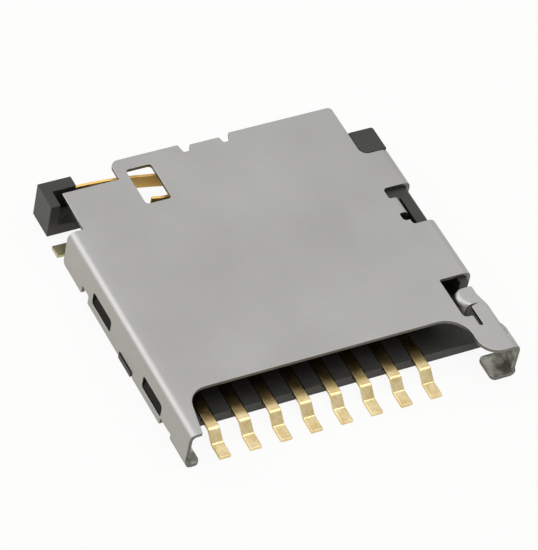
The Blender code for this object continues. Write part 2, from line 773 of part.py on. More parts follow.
def leaf_y(x):
    """Middle of the switch leaf: it leaves the block straight and sags towards the card."""
    run = max(0.0, x - BLOCK_RIGHT)
    return LEAF_Y - LEAF_SAG * run * run


def leaf_slot():
    """Slot in the corner block for the root of the leaf and its tail."""
    left = LEAF_LEFT - SEAT_GAP
    tail_right = LEAF_LEFT + LEAF_TAIL_WIDTH + SEAT_GAP
    low = LEAF_BOTTOM - SEAT_GAP
    high = LEAF_BOTTOM + LEAF_HEIGHT + SEAT_GAP
    outline = rounded([
        (left, -OVERRUN), (tail_right, -OVERRUN), (tail_right, low),
        (BLOCK_RIGHT + OVERRUN, low), (BLOCK_RIGHT + OVERRUN, high), (left, high),
    ])
    half = LEAF_SHEET / 2 + SEAT_GAP
    return ("Y", outline, LEAF_Y - half, LEAF_Y + half)


def leaf_foot_slot():
    """Way out under the block's back face for the leaf's tail."""
    left = LEAF_LEFT - SEAT_GAP
    right = LEAF_LEFT + LEAF_TAIL_WIDTH + SEAT_GAP
    top = LEAF_SHEET + LEAF_TAIL_BEND + SEAT_GAP
    outline = rectangle(left, LEAF_Y, right, BLOCK_BACK + OVERRUN)
    return ("Z", outline, -OVERRUN, top)


def post_y():
    """Middle of the fixed contact's post, in front of the leaf that rests on it."""
    near = POST_AT + POST_WIDTH / 2
    return leaf_y(near) - LEAF_SHEET / 2 - SEAT_GAP - POST_SHEET / 2


def post_channel():
    """Channel under the base for the fixed contact's flat run."""
    low, high = POST_TAIL
    left = POST_AT - POST_WIDTH / 2 - SEAT_GAP
    right = POST_AT + POST_WIDTH / 2 + SEAT_GAP
    rear = post_y() + POST_SHEET / 2 + SEAT_GAP
    outline = rounded([
        (BLOCK_LEFT - OVERRUN, low - SEAT_GAP), (right, low - SEAT_GAP), (right, rear),
        (left, rear), (left, high + SEAT_GAP), (BLOCK_LEFT - OVERRUN, high + SEAT_GAP),
    ])
    return ("Z", outline, -OVERRUN, POST_SHEET + SEAT_GAP)


def post_slot():
    """Slot through the ledge for the post, with room for the bend at its foot."""
    half = POST_WIDTH / 2 + SEAT_GAP
    rear = post_y() + POST_SHEET / 2 + SEAT_GAP
    front = post_y() - POST_SHEET / 2 - POST_BEND
    return ("Z", rectangle(POST_AT - half, front, POST_AT + half, rear), 0, LEDGE_TOP + OVERRUN)


def rear_pockets():
    """Pockets cored out of the rear wall from below, to keep the moulding even."""
    rib = REAR_POCKET_RIB
    wall = REAR_POCKET_WALL
    pitch = (REAR_WALL_RIGHT - BAY_END - rib) / REAR_POCKETS
    pockets = []
    for index in range(REAR_POCKETS):
        start = BAY_END + rib + index * pitch
        outline = rectangle(
            start, CARD_STOP + wall, start + pitch - rib, REAR_WALL_BACK - wall, SHEET / 2
        )
        pockets.append(("Z", outline, -OVERRUN, BASE_TOP - wall))
    return pockets


def switch_cuts():
    """Room for the switch: a bay through the base, a low ledge, and the block's recess."""
    back = BLOCK_BACK + OVERRUN
    lap = SHEET
    bay = rectangle(LEDGE_END, CARD_STOP - lap / 2, BAY_END, back)
    ledge = rectangle(BLOCK_RIGHT, CARD_STOP - lap, LEDGE_END + lap, back)
    recess = rectangle(
        BLOCK_LEFT + BLOCK_SIDE_BAR, CARD_STOP - OVERRUN, BLOCK_RIGHT + lap, BLOCK_BACK - BLOCK_BAR
    )
    behind = rectangle(BLOCK_RIGHT, REAR_WALL_BACK - LEDGE_BACK_STEP, LEDGE_END + lap, back)
    return (
        ("base_switch_bay", bay, -OVERRUN), ("base_ledge_top", ledge, LEDGE_TOP),
        ("base_block_recess", recess, LEDGE_TOP), ("base_ledge_back", behind, -OVERRUN),
    )


def build_base(material):
    """Moulded base: floor, rails, rear wall and corner block in one piece."""
    bm = bmesh.new()
    add_prism(bm, "Z", base_outline(), STANDOFF, HEIGHT)
    base = make_object("base", bm, material)
    above = HEIGHT + OVERRUN
    punch(base, "base_under_cover", [("Z", under_cover_outline(), BASE_TOP, above)])
    punch(base, "base_card_slot", [("Z", cavity_outline(), FLOOR_TOP, above)])
    punch(base, "base_rail_rounding", [
        rail_rounding(-1, BASE_FRONT - OVERRUN, RAIL_END_LEFT + SHEET),
        rail_rounding(1, BASE_FRONT - OVERRUN, WALL_END_RIGHT + SEAT_GAP),
    ])
    for name, outline, bottom in switch_cuts():
        punch(base, name, [("Z", outline, bottom, above)])
    punch(base, "base_contact_grooves", contact_grooves())
    punch(base, "base_beam_windows", beam_windows())
    punch(base, "base_leaf_slot", [leaf_slot()])
    punch(base, "base_leaf_foot", [leaf_foot_slot()])
    punch(base, "base_post_channel", [post_channel()])
    punch(base, "base_post_slot", [post_slot()])
    punch(base, "base_rear_pockets", rear_pockets())
    bosses = [snap_boss(-1, centre) for centre in SNAP_LEFT_AT]
    bosses += [snap_boss(1, centre) for centre in SNAP_RIGHT_AT]
    feet = [edge_foot(-1, FOOT_NOTCHES_LEFT[1]), edge_foot(1, FOOT_NOTCHES_RIGHT[0])]
    join(base, "base_bosses", bosses + feet)
    join(base, "base_feet", base_feet())
    return base


def contact_path():
    """Side view of a contact: foot, S-bend, flat run, spring beam and round nose."""
    half = CONTACT_SHEET / 2
    flat = FLOOR_TOP - half
    return rounded([
        (TAIL_TIP, half), (TAIL_LOWER_BEND, half, TAIL_BEND), (TAIL_UPPER_BEND, flat, TAIL_BEND),
        (BEAM_ROOT, flat, BEAM_BEND), (NOSE_AT, flat + NOSE_RISE, NOSE_BEND),
        (BEAM_TIP, flat + NOSE_RISE - BEAM_TIP_DROP),
    ], closed=False)


def build_contact(index, x, material):
    """One stamped contact, whose beam narrows towards the nose."""
    def edges(point):
        part = min(1.0, max(0.0, (point.x - BEAM_ROOT) / (NOSE_AT - BEAM_ROOT)))
        half = (CONTACT_WIDTH + (CONTACT_NOSE_WIDTH - CONTACT_WIDTH) * part) / 2
        return x - half, x + half

    bm = bmesh.new()
    add_strip(bm, "X", contact_path(), edges, CONTACT_SHEET)
    return make_object(f"contact_{index}", bm, material)


def leaf_path():
    """Plan view of the switch leaf: root, sagging run, and a turn back to its nose."""
    nose = CARD_STOP - LEAF_NOSE
    turn_start = LEAF_TURN_AT - LEAF_TURN
    corners = [(LEAF_LEFT, LEAF_Y), (BLOCK_RIGHT, LEAF_Y)]
    for step in range(1, LEAF_STEPS + 1):
        x = BLOCK_RIGHT + (turn_start - BLOCK_RIGHT) * step / LEAF_STEPS
        corners.append((x, leaf_y(x)))
    corners.append((LEAF_TURN_AT, leaf_y(LEAF_TURN_AT), LEAF_TURN))
    corners.append((LEAF_TURN_AT, nose, LEAF_TURN))
    corners.append((LEAF_TIP_AT + LEAF_TURN, nose, LEAF_TURN))
    corners.append((LEAF_TIP_AT, nose + LEAF_TURN / 4))
    return rounded(corners, closed=False)


def build_leaf(material):
    """Switch leaf, standing on edge, with a tail that turns out under the block."""
    low = LEAF_BOTTOM
    high = LEAF_BOTTOM + LEAF_HEIGHT
    bm = bmesh.new()
    add_strip(bm, "Z", leaf_path(), lambda point: (low, high), LEAF_SHEET)
    leaf = make_object("switch_leaf", bm, material)
    half = LEAF_SHEET / 2
    path = rounded([
        (LEAF_Y, LEAF_BOTTOM + LEAF_HEIGHT / 2), (LEAF_Y, half, LEAF_TAIL_BEND),
        (BLOCK_BACK + LEAF_TAIL_OUT, half),
    ], closed=False)
    bm = bmesh.new()
    add_strip(bm, "X", path, lambda point: (LEAF_LEFT, LEAF_LEFT + LEAF_TAIL_WIDTH), LEAF_SHEET)
    combine(leaf, "switch_leaf_tail", bm, "UNION")
    return leaf


def build_post(material):
    """Fixed contact of the switch: tail, flat run under the base, and upright post."""
    low, high = POST_TAIL
    left = POST_AT - POST_WIDTH / 2
    right = POST_AT + POST_WIDTH / 2
    bend_start = post_y() - POST_SHEET / 2 - POST_BEND
    bm = bmesh.new()
    add_prism(bm, "Z", rounded([
        (POST_LEFT, low), (right, low), (right, bend_start), (left, bend_start),
        (left, high), (POST_LEFT, high),
    ]), 0, POST_SHEET)
    post = make_object("switch_fixed_contact", bm, material)
    half = POST_SHEET / 2
    path = rounded([
        (bend_start - POST_SHEET, half), (post_y(), half, POST_BEND), (post_y(), POST_TOP),
    ], closed=False)
    bm = bmesh.new()
    add_strip(bm, "X", path, lambda point: (left, right), POST_SHEET)
    combine(post, "switch_post_riser", bm, "UNION")
    return post


def main():
    for item in list(bpy.data.objects):
        bpy.data.objects.remove(item)
    origin = bpy.data.objects.new("socket_origin", None)
    bpy.context.collection.objects.link(origin)
    origin.location = Vector((-CENTRE_X, -CENTRE_Y, 0)) * MM
    build_cover(make_material("stainless_sheet", (0.60, 0.60, 0.585), 1.0, 0.38))
    build_base(make_material("black_moulding", (0.022, 0.022, 0.024), 0.0, 0.55))
    for index, x in enumerate(contact_centres(), start=1):
        build_contact(index, x, make_material(f"gold_contact_{index}", (0.86, 0.63, 0.27), 1.0, 0.28))
    build_leaf(make_material("gold_leaf", (0.80, 0.56, 0.22), 1.0, 0.30))
    build_post(make_material("gold_post", (0.80, 0.56, 0.22), 1.0, 0.30))


main()
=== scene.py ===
# %% [markdown]
# # Dressing a card socket
# The part is a push-pull socket for a micro size memory card, 12 mm across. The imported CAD
# model gives twelve solids in one shared frame, in metres, with the board at Z = 0 and the
# card going in along +Y. This script turns them into what the eye expects: satin steel with
# broken edges, black glass-filled moulding, and plated springs, under soft studio light.
# The pieces could be modelled anew for looks alone, but then every hole and tail would have
# to be placed twice. So each solid is copied and dressed, and its measures stay true.

# %% The frame
import math

import bmesh
import bpy
from mathutils import Euler, Matrix, Vector


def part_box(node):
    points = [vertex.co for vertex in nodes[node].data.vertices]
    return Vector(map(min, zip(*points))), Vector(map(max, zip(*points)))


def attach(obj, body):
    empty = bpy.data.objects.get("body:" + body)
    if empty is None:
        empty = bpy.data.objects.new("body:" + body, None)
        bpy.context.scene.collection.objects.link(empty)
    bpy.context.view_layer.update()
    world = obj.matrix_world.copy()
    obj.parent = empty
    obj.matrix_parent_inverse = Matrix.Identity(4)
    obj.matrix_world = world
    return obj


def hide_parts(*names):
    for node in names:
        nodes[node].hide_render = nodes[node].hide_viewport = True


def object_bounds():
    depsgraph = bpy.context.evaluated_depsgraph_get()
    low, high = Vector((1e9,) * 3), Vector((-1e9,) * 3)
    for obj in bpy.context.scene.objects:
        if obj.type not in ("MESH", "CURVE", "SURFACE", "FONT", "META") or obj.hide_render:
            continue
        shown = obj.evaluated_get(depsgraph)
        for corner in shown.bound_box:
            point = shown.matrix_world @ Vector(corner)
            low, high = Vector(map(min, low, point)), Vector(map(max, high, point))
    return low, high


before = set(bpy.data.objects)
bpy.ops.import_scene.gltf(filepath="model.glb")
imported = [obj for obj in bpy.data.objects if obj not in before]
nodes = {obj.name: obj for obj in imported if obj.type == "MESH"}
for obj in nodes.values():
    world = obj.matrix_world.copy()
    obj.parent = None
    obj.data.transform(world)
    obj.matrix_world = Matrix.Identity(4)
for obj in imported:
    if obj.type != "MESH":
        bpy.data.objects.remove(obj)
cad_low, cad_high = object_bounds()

MM = 0.001


def size_in_mm(low, high):
    """Edge lengths of a box, for the prints."""
    return [round((top - bottom) / MM, 3) for bottom, top in zip(low, high)]


print("nodes:", sorted(nodes))
print("CAD size in mm:", size_in_mm(cad_low, cad_high))

# %% [markdown]
# ## Camera and plain settings
# The photograph is a long-lens view from the front left and above. A camera could be set by
# eye. Here straight edges that the CAD model shares with the photograph (the row of tails,
# the roof's outline) were matched by least squares, which gives this position, turn and
# focal length. A long lens from 13 cm keeps parallel edges almost parallel. The Standard
# view transform shows the tones as they are chosen, without a film curve.

# %% Camera
CAMERA_PLACE = (-0.051892, -0.072146, 0.093187)
CAMERA_TURN = (43.2124, -8.5819, -26.5924)

bpy.context.scene.view_settings.view_transform = "Standard"
camera_data = bpy.data.cameras.new("bench_camera")
camera_data.lens = 255.93
camera_data.sensor_width = 36.0
camera_data.clip_start = 0.01
camera_data.clip_end = 10.0
camera = bpy.data.objects.new("bench_camera", camera_data)
bpy.context.collection.objects.link(camera)
camera.location = CAMERA_PLACE
camera.rotation_euler = Euler([math.radians(turn) for turn in CAMERA_TURN])
bpy.context.scene.camera = camera
print("camera to object:", round(camera.location.length / MM, 1), "mm")

# %% [markdown]
# ## Working by hand, in code
# Every step below is one that a person would make with the mouse: pick an object, go into
# edit mode, select, run a tool. These helpers keep the selection clean, because an operator
# acts on everything that is selected.

# %% Selecting one piece
def pick(piece):
    """Make one object the only selected and active one."""
    if bpy.context.object and bpy.context.object.mode != "OBJECT":
        bpy.ops.object.mode_set(mode="OBJECT")
    bpy.ops.object.select_all(action="DESELECT")
    piece.select_set(True)
    bpy.context.view_layer.objects.active = piece


def apply_all(piece):
    """Apply the live modifiers of a piece from top to bottom."""
    pick(piece)
    for modifier in list(piece.modifiers):
        bpy.ops.object.modifier_apply(modifier=modifier.name)


def count(piece):
    """Triangles of a piece, for the print at the end of each step."""
    piece.data.calc_loop_triangles()
    return len(piece.data.loop_triangles)


# %% [markdown]
# ## Which edges are rims
# A real stamped or moulded edge is never a mathematical one. The sheet's edges carry a small
# roll-over from the punch, and a moulding takes the small radius of the tool. CAD leaves them
# sharp. A bend is made of facets that turn by less than 20 degrees, and those stay smooth.
# Every edge that turns more is marked sharp, inner corners too, so that no shading runs round
# it. An outward edge of more than 32 degrees is a rim and gets a weight for the bevel. The
# bevel's own angle limit could choose the rims too, but it would also take inner corners.

# %% Weighing the rims
FACET = math.radians(20)
SHARP = math.radians(32)


def weigh_rims(piece):
    """Mark each edge sharp that is more than a facet, and weigh the sharp outward ones."""
    mesh = bmesh.new()
    mesh.from_mesh(piece.data)
    weight = mesh.edges.layers.float.new("bevel_weight_edge")
    for edge in mesh.edges:
        if len(edge.link_faces) != 2:
            continue
        turn = edge.calc_face_angle()
        edge.smooth = edge.smooth and turn < FACET
        if edge.is_convex and turn > SHARP:
            edge[weight] = 1.0
    mesh.to_mesh(piece.data)
    mesh.free()


# %% [markdown]
# ## Breaking the edges
# Each solid is copied to world coordinates and leaves its node's parent, so that it stands at
# the origin untransformed. Its loose triangles are merged at their corners and dissolved back
# to whole faces, and a Bevel modifier rounds the weighed rims. Hardened normals keep the
# broad faces flat to the light, so that only the rim catches it.

# %% Copy of a solid with broken edges
ONE_CORNER = 0.001 * MM
ONE_FACE = math.radians(0.5)


def broken_copy(node, name, radius, segments=2):
    """Copy a CAD node, merge its triangles and round its sharp edges by a radius in metres."""
    piece = nodes[node].copy()
    piece.data = nodes[node].data.copy()
    piece.name = name
    bpy.context.collection.objects.link(piece)
    world = nodes[node].matrix_world.copy()
    piece.parent = None
    piece.matrix_world = Matrix.Identity(4)
    piece.data.transform(world)
    piece.data.materials.clear()
    pick(piece)
    bpy.ops.object.mode_set(mode="EDIT")
    bpy.ops.mesh.select_all(action="SELECT")
    bpy.ops.mesh.remove_doubles(threshold=ONE_CORNER)
    bpy.ops.mesh.dissolve_limited(angle_limit=ONE_FACE)
    bpy.ops.object.mode_set(mode="OBJECT")
    bpy.ops.object.shade_smooth_by_angle(angle=FACET)
    weigh_rims(piece)
    bevel = piece.modifiers.new("broken_edges", "BEVEL")
    bevel.width = radius
    bevel.segments = segments
    bevel.limit_method = "WEIGHT"
    bevel.use_clamp_overlap = False
    bevel.harden_normals = True
    apply_all(piece)
    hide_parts(node)
    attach(piece, "root")
    print(name, count(piece), "triangles")
    return piece


# %% [markdown]
# ## The cover
# The cover is one blank of 0.15 mm stainless sheet, punched and then folded: roof, side
# walls, the lock arm with its rolled hook, the key tab and the two feet at the mouth. It
# could be folded again from a flat blank with Solidify, but the solid already has the exact
# bends. Its punched rim has a roll-over of about a tenth of the sheet.

# %% Cover
SHEET_RIM = 0.020 * MM
cover = broken_copy("cover", "cover_sheet", SHEET_RIM)

# %% [markdown]
# A blank has three kinds of surface, and each gets its own finish later: the outer side, the
# inner side, and the cut edge, which is a little rougher and darker, the darker tone being
# painted shade. They could be selected by hand, face by face. Here the rule is where a face
# lies and where it points. The roof's sheet faces up and down, so a roof face that points
# sideways is a cut edge. The walls face left and right, so there it is one that doesn't. The
# feet lie flat, and their inner side points up.

# %% Faces of the cover
OUTER, CUT, INNER = 0, 1, 2
ROOF_ABOVE = 1.262 * MM
LIP_BELOW = 0.26 * MM
FEET_BEFORE = cad_low[1] + 1.40 * MM
ACROSS = 0.35
DOWNWARD = -0.8
UPWARD = 0.6


def kind_of(face):
    """Outer side, cut edge or inner side of the folded sheet."""
    centre, normal = face.center, face.normal
    if centre.z > ROOF_ABOVE:
        if abs(normal.z) < ACROSS:
            return CUT
        return INNER if normal.z < DOWNWARD else OUTER
    if centre.y < FEET_BEFORE and centre.z < LIP_BELOW:
        return INNER if normal.z > UPWARD else CUT
    if abs(normal.x) < ACROSS:
        return CUT
    inward = normal.x * centre.x < 0
    return INNER if inward else OUTER


def mark_faces(piece, rule):
    """Give each face the material slot that the rule says, and print how many each got."""
    for face in piece.data.polygons:
        face.material_index = rule(face)
    slots = [face.material_index for face in piece.data.polygons]
    print(piece.name, "faces in each slot:", [slots.count(slot) for slot in sorted(set(slots))])


mark_faces(cover, kind_of)

# %% [markdown]
# ## The moulded base
# The base is a black, glass-filled moulding, the kind that stands the heat of soldering. Its
# tool has sharp parting edges, so its radius is small.

# %% Base
MOULD_RIM = 0.012 * MM
base = broken_copy("base", "base_moulding", MOULD_RIM)

# %% [markdown]
# The sides of the rails that show through the windows of the cover's left wall lie in shade
# and look almost black; that shade is painted into a darker tone, with a rougher, duller
# finish.
# A side face is one that points left or right and lies on a rail, next to the cover's wall.

# %% Sides of the base
FLOOR_FACE, SIDE_FACE = 0, 1
RAIL = 0.6 * MM
UPRIGHT = 0.9
cover_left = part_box("cover")[0][0]


def side_or_floor(face):
    """Side face of a rail, or any other face of the moulding."""
    beside = abs(face.center.x) > abs(cover_left) - RAIL and face.center.x > cover_left
    return SIDE_FACE if beside and abs(face.normal.x) > UPRIGHT else FLOOR_FACE


mark_faces(base, side_or_floor)

# %% [markdown]
# ## The contacts and the switch
# The eight contacts are stamped from thin strip and gold plated. Coining gives the tails a
# soft rim that catches the light along its whole length, so their bevel is wider and has one
# more segment. They could be one mesh, repeated, but each is a part of its own in the CAD
# model. The switch has a standing leaf and a fixed contact beside it, from the same strip.

# %% Contacts
COINED_RIM = 0.030 * MM
STRIP_RIM = 0.012 * MM
contacts = [
    broken_copy(f"contact_{place}", f"contact_spring_{place}", COINED_RIM, segments=3)
    for place in range(1, 9)
]
leaf = broken_copy("switch_leaf", "switch_leaf_spring", STRIP_RIM)
post = broken_copy("switch_fixed_contact", "switch_post", STRIP_RIM)

# %% [markdown]
# ## Wiring nodes in code
# A finish is a tree of nodes. By hand, one drags a wire from an output to an input. These
# helpers do the same: an output is written as a pair of a node and its socket, and a helper
# gives back such a pair, so that the next one can take it up.

# %% Node helpers
def link(tree, source, target):
    """Wire one socket to another, each given as (node, socket name or number)."""
    tree.links.new(source[0].outputs[source[1]], target[0].inputs[target[1]])


def math_node(tree, operation, *values):
    """Math node whose inputs are numbers or (node, socket) pairs."""
    node = tree.nodes.new("ShaderNodeMath")
    node.operation = operation
    for index, value in enumerate(values):
        if isinstance(value, tuple):
            link(tree, value, (node, index))
        else:
            node.inputs[index].default_value = value
    return (node, 0)


def object_coordinates(tree):
    """Object coordinates, which stay with the piece when the camera moves."""
    return (tree.nodes.new("ShaderNodeTexCoord"), "Object")


# %% [markdown]
# ## Effects that several finishes share
# Three effects come up in more than one finish: a fine speckle, a drawn-out grain that
# follows the rolling direction of the strip, and a broad cloudy change of tone. Each is one
# node group with named inputs, so that every finish can place it at its own scale, in metres.
# An image of scratches could do it too, but noise has no seams and no limit of sharpness. A
# group puts out only a number that changes over the surface, never a shader.

# %% Speckle, grain and clouds
NOISE_ROUGHNESS = 0.6
MIDDLE = 0.5
ALL_WAYS = (1.0, 1.0, 1.0)
DRAWN_OUT_ALONG_X = (14.0, 1.0, 1.0)


def new_group(name, inputs, outputs):
    """Empty shader group with float inputs given as (name, default) and named outputs."""
    group = bpy.data.node_groups.new(name, "ShaderNodeTree")
    new_socket = group.interface.new_socket
    for label, value in inputs:
        socket = new_socket(name=label, in_out="INPUT", socket_type="NodeSocketFloat")
        socket.default_value = value
    for label in outputs:
        new_socket(name=label, in_out="OUTPUT", socket_type="NodeSocketFloat")
    return group, group.nodes.new("NodeGroupInput"), group.nodes.new("NodeGroupOutput")


def make_noise_group(name, detail, stretch):
    """Noise between 0 and 1 around 0.5; stretch divides the scale along X, Y and Z."""
    group, entry, leave = new_group(name, [("Size", 0.1 * MM), ("Depth", 1.0)], ["Value"])
    mapping = group.nodes.new("ShaderNodeMapping")
    mapping.inputs["Scale"].default_value = [1 / part for part in stretch]
    link(group, object_coordinates(group), (mapping, "Vector"))
    noise = group.nodes.new("ShaderNodeTexNoise")
    noise.inputs["Detail"].default_value = detail
    noise.inputs["Roughness"].default_value = NOISE_ROUGHNESS
    link(group, (mapping, "Vector"), (noise, "Vector"))
    link(group, math_node(group, "DIVIDE", 1.0, (entry, "Size")), (noise, "Scale"))
    centred = math_node(group, "SUBTRACT", (noise, "Fac"), MIDDLE)
    deep = math_node(group, "MULTIPLY", centred, (entry, "Depth"))
    link(group, math_node(group, "ADD", deep, MIDDLE), (leave, "Value"))
    return group


speckle_group = make_noise_group("speckle", detail=3.0, stretch=ALL_WAYS)
grain_group = make_noise_group("rolled_grain", detail=4.0, stretch=DRAWN_OUT_ALONG_X)
cloud_group = make_noise_group("broad_clouds", detail=2.0, stretch=ALL_WAYS)
print("groups:", [group.name for group in (speckle_group, grain_group, cloud_group)])

# %% [markdown]
# ## Finishes
# Each finish starts from one Principled shader. Numbers that are the same all over stand on
# the shader itself. Only what varies over the surface is wired: the colour through a ramp
# from dark to light, the roughness through a Map Range, and the fine relief through Bump.
# The tone that drives the ramp is a weighted sum of the effects, with weights that add to 1.

# %% Finish helpers
RAMP_START, RAMP_END = 0.25, 0.75


def new_finish(name, metallic):
    """Material with one Principled shader, ready for wiring."""
    finish = bpy.data.materials.new(name)
    finish.use_nodes = True
    shader = finish.node_tree.nodes["Principled BSDF"]
    shader.inputs["Metallic"].default_value = metallic
    shader.inputs["IOR"].default_value = 1.5
    return finish, finish.node_tree, shader


def place_group(tree, group, **values):
    """Put a group into a material with its own values."""
    node = tree.nodes.new("ShaderNodeGroup")
    node.node_tree = group
    for label, value in values.items():
        node.inputs[label].default_value = value
    return (node, "Value")


def weighted_sum(tree, *shares):
    """Sum of values, each given as (value, weight)."""
    total, *others = [math_node(tree, "MULTIPLY", value, weight) for value, weight in shares]
    for other in others:
        total = math_node(tree, "ADD", total, other)
    return total


def mix_tones(tree, value, dark, light):
    """Colour between two tones by a value between 0 and 1."""
    ramp = tree.nodes.new("ShaderNodeValToRGB")
    ends = ((RAMP_START, dark), (RAMP_END, light))
    for element, (position, tone) in zip(ramp.color_ramp.elements, ends):
        element.position = position
        element.color = (*tone, 1)
    link(tree, value, (ramp, "Fac"))
    return (ramp, "Color")


def spread(tree, value, low, high):
    """A value between 0 and 1 stretched to the range low to high."""
    node = tree.nodes.new("ShaderNodeMapRange")
    node.inputs["To Min"].default_value = low
    node.inputs["To Max"].default_value = high
    link(tree, value, (node, "Value"))
    return (node, "Result")


def relief(tree, shader, value, distance):
    """Fine relief of a height in metres."""
    bump = tree.nodes.new("ShaderNodeBump")
    bump.inputs["Strength"].default_value = 1.0
    bump.inputs["Distance"].default_value = distance
    link(tree, value, (bump, "Height"))
    link(tree, (bump, "Normal"), (shader, "Normal"))


# %% [markdown]
# ### Where one finish turns into another
# Two finishes change along the part: the sheet is tinned on its feet, and the gold has painted
# shade under the roof. Cutting the mesh there and giving it two materials would show a hard
# line.
# A Map Range with a smooth step along Y fades one colour into the other.

# %% Fade along the part
MIX_FACTOR, MIX_FIRST, MIX_SECOND, MIX_RESULT = 0, 6, 7, 2


def along_y(tree, start, end):
    """0 before one place along Y and 1 after another, with a smooth step between them."""
    place = tree.nodes.new("ShaderNodeSeparateXYZ")
    link(tree, object_coordinates(tree), (place, "Vector"))
    fade = tree.nodes.new("ShaderNodeMapRange")
    fade.interpolation_type = "SMOOTHSTEP"
    fade.inputs["From Min"].default_value = start
    fade.inputs["From Max"].default_value = end
    link(tree, (place, "Y"), (fade, "Value"))
    return (fade, "Result")


def blend_colours(tree, blend_type, factor, first, second):
    """Mix node for two colours, each a tone or a (node, socket) pair."""
    mix = tree.nodes.new("ShaderNodeMix")
    mix.data_type = "RGBA"
    mix.blend_type = blend_type
    link(tree, factor, (mix, MIX_FACTOR))
    for socket, colour in ((MIX_FIRST, first), (MIX_SECOND, second)):
        if len(colour) == 2:
            link(tree, colour, (mix, socket))
        else:
            mix.inputs[socket].default_value = (*colour, 1)
    return (mix, MIX_RESULT)


# %% [markdown]
# ### Stained feet
# The feet at the mouth are tinned on their inner side, where solder climbs. Flux and tin
# leave olive blotches there, which are no clean metal, so the Metallic value drops with them.

# %% Stained feet
STAIN_START = cad_low[1] + 1.05 * MM
STAIN_END = cad_low[1] + 1.50 * MM
TIN_DARK, TIN_LIGHT = (0.19, 0.185, 0.15), (0.58, 0.57, 0.50)
TIN_METALLIC = 0.5


def stain_feet(tree, shader, colour):
    """Blotched tin on the feet, which fades into the clean sheet behind them."""
    clean = along_y(tree, STAIN_START, STAIN_END)
    blotches = place_group(tree, cloud_group, Size=0.39 * MM, Depth=2.5)
    tin = mix_tones(tree, blotches, TIN_DARK, TIN_LIGHT)
    link(tree, spread(tree, clean, TIN_METALLIC, 1.0), (shader, "Metallic"))
    return blend_colours(tree, "MIX", clean, tin, colour)


# %% [markdown]
# ### Satin stainless sheet
# The sheet has a fine matt finish from the rolls: hardly any direction, a very fine speckle,
# and a slow change of tone. It isn't a mirror, so its roughness is well above that of a
# polished metal. The cut edge is a little rougher, and its darker tone is painted shade. The
# inner side is a little smoother.

# %% Satin stainless sheet
STEEL_VARIES = 0.04


def make_steel(name, dark, light, rough, stained=False):
    """Rolled stainless sheet between two tones, with or without tinned feet."""
    finish, tree, shader = new_finish(name, metallic=1.0)
    fine = place_group(tree, speckle_group, Size=0.06 * MM, Depth=1.0)
    grain = place_group(tree, grain_group, Size=0.04 * MM, Depth=1.0)
    clouds = place_group(tree, cloud_group, Size=4.0 * MM, Depth=1.6)
    tone = weighted_sum(tree, (fine, 0.35), (grain, 0.25), (clouds, 0.40))
    colour = mix_tones(tree, tone, dark, light)
    if stained:
        colour = stain_feet(tree, shader, colour)
    link(tree, colour, (shader, "Base Color"))
    roughness = spread(tree, clouds, rough - STEEL_VARIES, rough + STEEL_VARIES)
    link(tree, roughness, (shader, "Roughness"))
    relief(tree, shader, fine, distance=0.0012 * MM)
    print("finish:", finish.name)
    return finish


steel = make_steel(
    "satin_stainless", dark=(0.39, 0.384, 0.372), light=(0.465, 0.461, 0.450), rough=0.40)
# The cut edge's dark tones are painted shade.
cut_steel_with_painted_shade = make_steel(
    "cut_stainless_painted_shade", dark=(0.13, 0.127, 0.120), light=(0.23, 0.226, 0.216), rough=0.45)
inner_steel = make_steel(
    "inner_stainless", dark=(0.42, 0.415, 0.405), light=(0.50, 0.495, 0.485), rough=0.34,
    stained=True)

# %% [markdown]
# ### Black glass-filled moulding
# Short glass fibres lie just under the skin and make it faintly mottled, and the surface is
# matt where the tool was spark eroded. The sides seen through the windows are rougher and
# reflect less, and their darker tone is painted shade.

# %% Black moulding
PLASTIC_VARIES = 0.07


def make_plastic(name, dark, light, rough, gloss):
    """Glass-filled black plastic between two tones."""
    finish, tree, shader = new_finish(name, metallic=0.0)
    shader.inputs["Specular IOR Level"].default_value = gloss
    fibres = place_group(tree, grain_group, Size=0.07 * MM, Depth=1.2)
    fine = place_group(tree, speckle_group, Size=0.04 * MM, Depth=1.0)
    clouds = place_group(tree, cloud_group, Size=1.5 * MM, Depth=1.4)
    tone = weighted_sum(tree, (fibres, 0.6), (clouds, 0.4))
    link(tree, mix_tones(tree, tone, dark, light), (shader, "Base Color"))
    roughness = spread(tree, clouds, rough - PLASTIC_VARIES, rough + PLASTIC_VARIES)
    link(tree, roughness, (shader, "Roughness"))
    relief(tree, shader, fine, distance=0.003 * MM)
    print("finish:", finish.name)
    return finish


plastic = make_plastic(
    "black_moulding", dark=(0.013, 0.0125, 0.011), light=(0.029, 0.028, 0.0255), rough=0.42,
    gloss=0.5)
# The sides' darker tones are painted shade, for the shade they lie in behind the windows.
shaded_side_plastic = make_plastic(
    "side_painted_shade", dark=(0.008, 0.0078, 0.007), light=(0.016, 0.0155, 0.014), rough=0.75,
    gloss=0.2)

# %% [markdown]
# ### Painted shade on the gold under the roof
# Under the roof the gold lies in shade, and that shade is painted into its colour: a browner,
# darker tone is multiplied onto the gold, so that the clouds of the gold still show through it.

# %% Painted shade under the roof
ROOF_SHADE_FADE = 0.25 * MM
ROOF_SHADE_TONE = (0.50, 0.46, 0.38)


def roof_shade_on_gold(tree, colour, start):
    """Darken a colour with painted shade from one place along Y, over a quarter of a
    millimetre.
    """
    inside = along_y(tree, start, start + ROOF_SHADE_FADE)
    return blend_colours(tree, "MULTIPLY", inside, colour, ROOF_SHADE_TONE)


# %% [markdown]
# ### Gold plating
# Thin gold over nickel on copper alloy. It is smoother than the steel, and its broad clouds
# run from a redder tone, where it is thin, to a paler one. The leaf is nearly matt, and its
# tone is lifted to a bright orange as painted light. The fixed contact is darker and greener,
# as painted shade.

# %% Gold plating
GOLD_SMOOTHER, GOLD_ROUGHER = 0.04, 0.05


